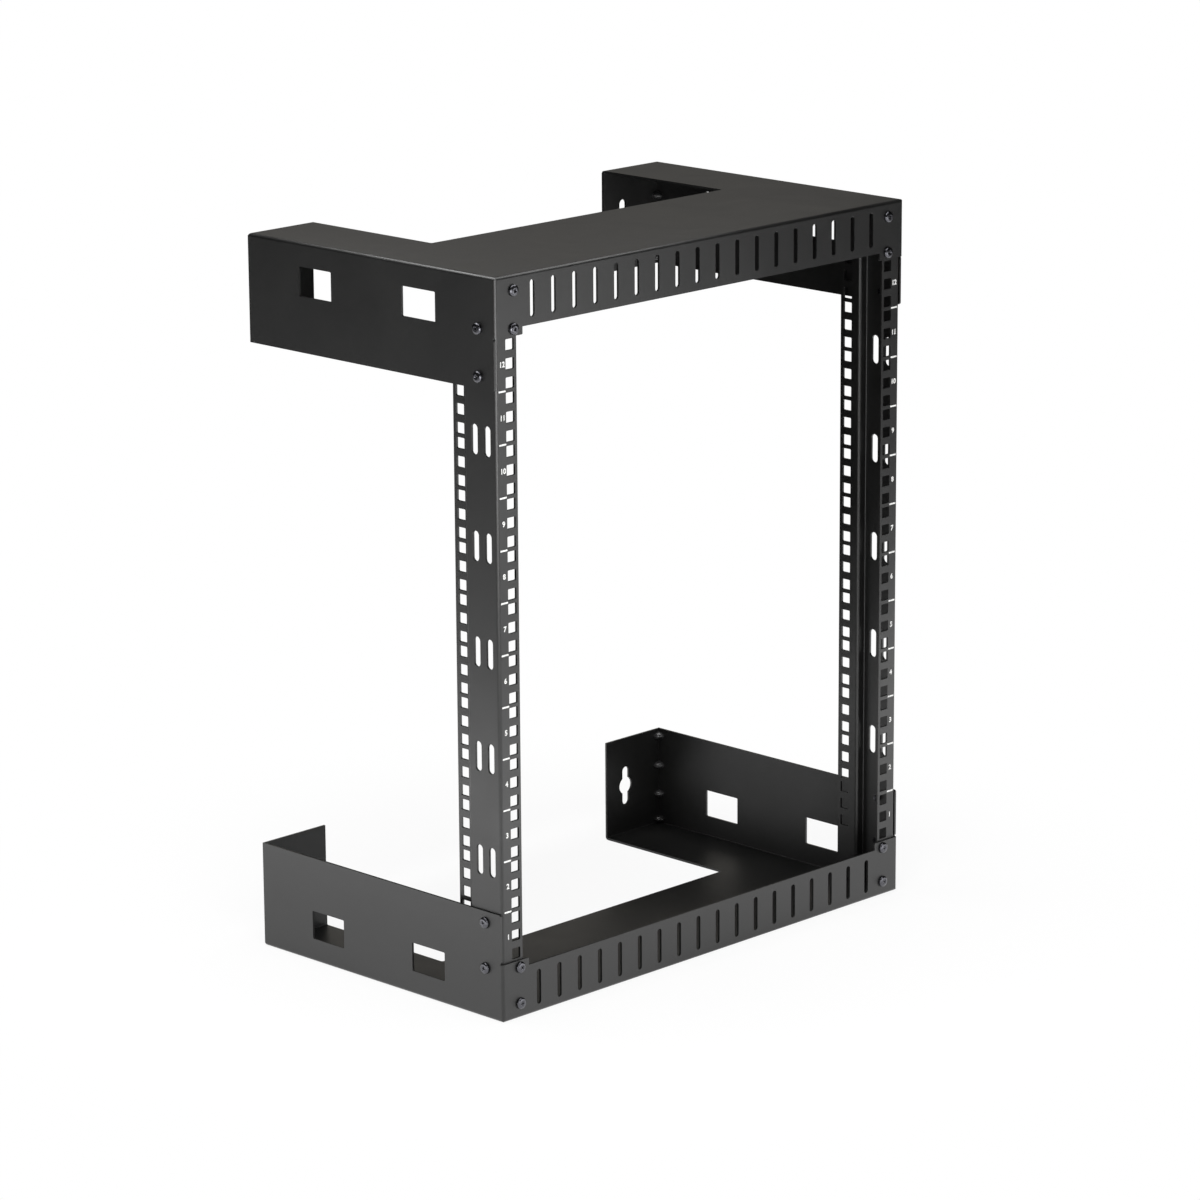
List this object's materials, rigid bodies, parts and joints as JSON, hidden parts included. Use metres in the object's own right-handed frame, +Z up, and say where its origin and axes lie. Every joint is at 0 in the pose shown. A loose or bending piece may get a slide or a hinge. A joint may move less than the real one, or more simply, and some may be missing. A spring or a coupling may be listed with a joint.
{
  "type": "wall mount rack",
  "caption": "Open wall mount rack for equipment: folded steel end frames with slotted aprons and keyholed wall flanges, joined by posts with square rack-unit holes.",
  "frame": {"origin": "under the middle of the object's box, on the plane that the bottom plate stands on", "axes": "+Z up, +Y towards the wall, +X to the right as seen from the front; the aprons face -Y"},
  "size_m": [0.507, 0.303, 0.636],
  "materials": {
    "frame_coat": "black powder coat, fine texture, semi-matt",
    "post_coat": "black powder coat, fine texture, semi-matt",
    "screw_black": "black zinc plate, satin"
  },
  "bodies": {
    "root": {"bottom_plate": "frame_coat", "bottom_apron": "frame_coat", "bottom_left_side": "frame_coat", "bottom_right_side": "frame_coat", "bottom_left_wall_flange": "frame_coat", "bottom_right_wall_flange": "frame_coat", "top_plate": "frame_coat", "top_apron": "frame_coat", "top_left_side": "frame_coat", "top_right_side": "frame_coat", "top_left_wall_flange": "frame_coat", "top_right_wall_flange": "frame_coat", "left_post": "post_coat", "right_post": "post_coat", "bottom_left_apron_screw_lower": "screw_black", "bottom_left_apron_screw_upper": "screw_black", "bottom_left_side_screw_lower": "screw_black", "bottom_left_side_screw_upper": "screw_black", "bottom_right_apron_screw_lower": "screw_black", "bottom_right_apron_screw_upper": "screw_black", "bottom_right_side_screw_lower": "screw_black", "bottom_right_side_screw_upper": "screw_black", "top_left_apron_screw_lower": "screw_black", "top_left_apron_screw_upper": "screw_black", "top_left_side_screw_lower": "screw_black", "top_left_side_screw_upper": "screw_black", "top_right_apron_screw_lower": "screw_black", "top_right_apron_screw_upper": "screw_black", "top_right_side_screw_lower": "screw_black", "top_right_side_screw_upper": "screw_black"}
  },
  "joints": []
}
